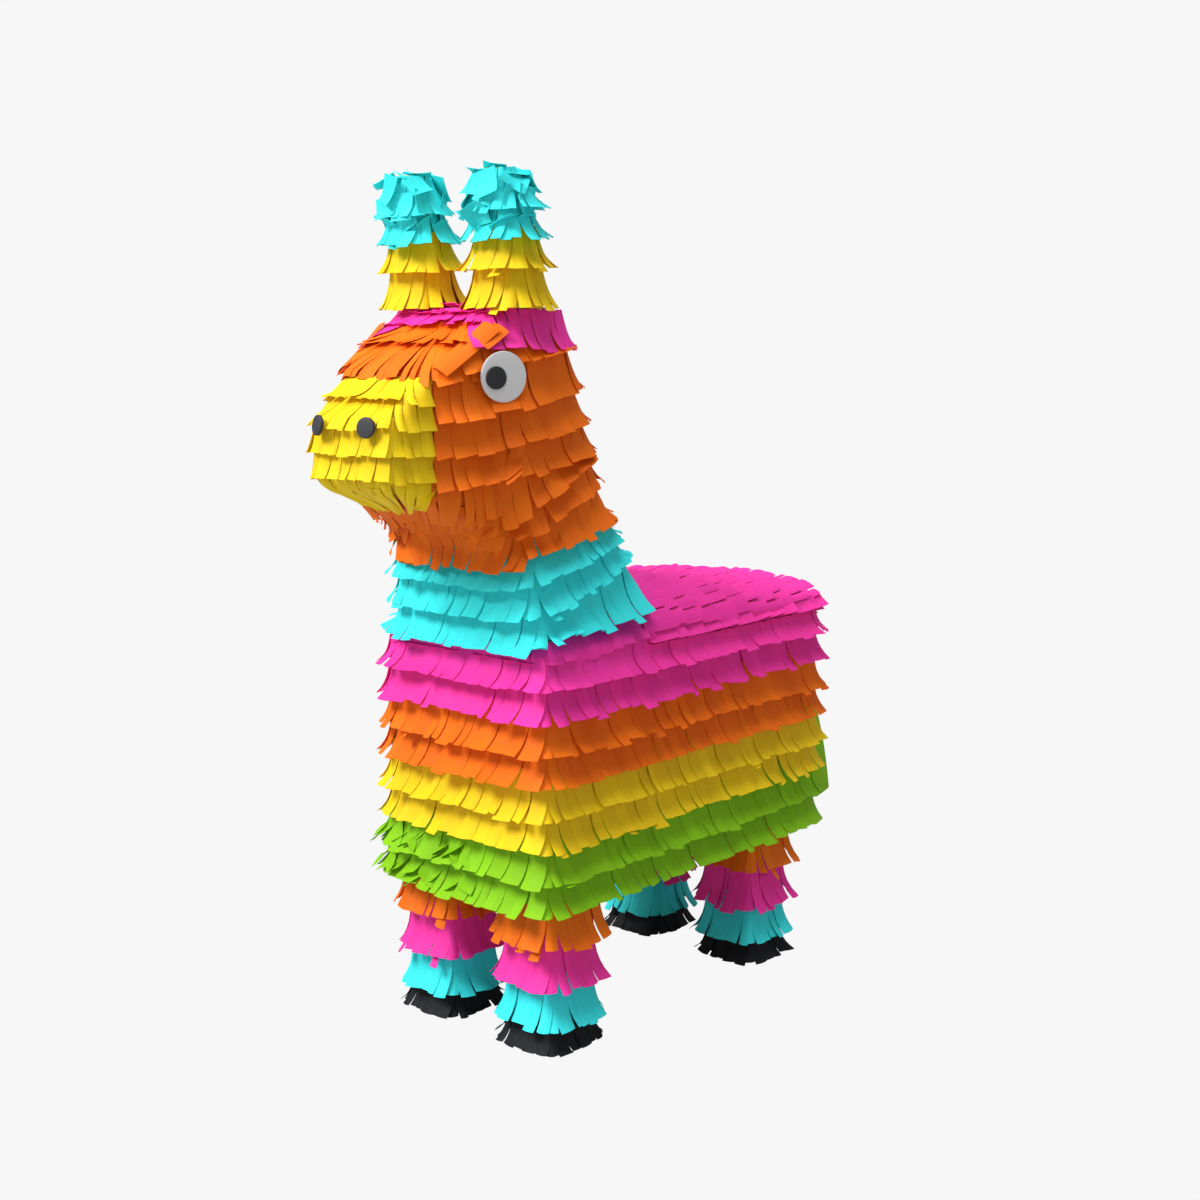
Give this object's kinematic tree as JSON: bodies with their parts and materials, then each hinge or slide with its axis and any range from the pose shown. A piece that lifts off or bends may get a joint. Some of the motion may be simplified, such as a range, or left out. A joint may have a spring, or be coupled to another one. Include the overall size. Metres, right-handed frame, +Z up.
{
  "type": "donkey pinata",
  "caption": "Hollow card donkey covered in rows of cut crepe paper, with a fill hatch in its back, a hanging loop and a flat tail.",
  "frame": {"origin": "on the ground, in the middle of the donkey's length and width", "axes": "+Z up, the donkey faces -Y, its left side is +X"},
  "size_m": [0.1516, 0.505, 0.5435],
  "materials": {
    "card": "matt",
    "wood": "matt",
    "cord": "matt",
    "eye_white": "satin",
    "black_paper": "matt",
    "grey_paper": "matt",
    "crepe_cyan": "matt",
    "crepe_pink": "matt",
    "crepe_orange": "matt",
    "crepe_yellow": "matt",
    "crepe_green": "matt",
    "crepe_black": "matt"
  },
  "bodies": {
    "donkey": {"anchor_cord": "cord", "anchor_dowel": "wood", "anchor_patch": "card", "back_fringe_pink": "crepe_pink", "back_panel": "card", "belly_panel": "card", "body_fringe_green": "crepe_green", "body_fringe_orange": "crepe_orange", "body_fringe_pink": "crepe_pink", "body_fringe_yellow": "crepe_yellow", "cheek_fringe_orange": "crepe_orange", "chest_panel": "card", "crown_fringe_pink": "crepe_pink", "forehead_fringe_orange": "crepe_orange", "front_left_leg_fringe_black": "crepe_black", "front_left_leg_fringe_cyan": "crepe_cyan", "front_left_leg_fringe_orange": "crepe_orange", "front_left_leg_fringe_pink": "crepe_pink", "front_left_leg_tube": "card", "front_right_leg_fringe_black": "crepe_black", "front_right_leg_fringe_cyan": "crepe_cyan", "front_right_leg_fringe_orange": "crepe_orange", "front_right_leg_fringe_pink": "crepe_pink", "front_right_leg_tube": "card", "head_shell": "card", "left_ear_fringe_cyan": "crepe_cyan", "left_ear_fringe_yellow": "crepe_yellow", "left_ear_shell": "card", "left_eye": "eye_white", "left_flank_panel": "card", "left_nostril": "grey_paper", "left_pupil": "black_paper", "muzzle_fringe_yellow": "crepe_yellow", "muzzle_shell": "card", "neck_fringe_cyan": "crepe_cyan", "neck_shell": "card", "rear_left_leg_fringe_black": "crepe_black", "rear_left_leg_fringe_cyan": "crepe_cyan", "rear_left_leg_fringe_orange": "crepe_orange", "rear_left_leg_fringe_pink": "crepe_pink", "rear_left_leg_tube": "card", "rear_right_leg_fringe_black": "crepe_black", "rear_right_leg_fringe_cyan": "crepe_cyan", "rear_right_leg_fringe_orange": "crepe_orange", "rear_right_leg_fringe_pink": "crepe_pink", "rear_right_leg_tube": "card", "right_ear_fringe_cyan": "crepe_cyan", "right_ear_fringe_yellow": "crepe_yellow", "right_ear_shell": "card", "right_eye": "eye_white", "right_flank_panel": "card", "right_nostril": "grey_paper", "right_pupil": "black_paper", "rump_panel": "card", "throat_fringe_orange": "crepe_orange"},
    "hatch": {"hatch_flap": "card", "hatch_fringe_pink": "crepe_pink"},
    "hanger": {"hanging_loop": "cord"},
    "tail": {"tail_strip": "crepe_green"}
  },
  "joints": [
    {"name": "hatch_open", "type": "hinge", "parent": "donkey", "child": "hatch", "pos_m": [-0.03, 0.037, 0.2741], "axis": [0, -0.997, 0.0773], "range_deg": [0, 95]},
    {"name": "hanger_swing", "type": "hinge", "parent": "donkey", "child": "hanger", "pos_m": [0, -0.03, 0.2882], "axis": [1, 0, 0], "range_deg": [-65, 15]},
    {"name": "tail_swing", "type": "hinge", "parent": "donkey", "child": "tail", "pos_m": [0, 0.1273, 0.223], "axis": [0, 0, 1], "range_deg": [-30, 30]}
  ]
}
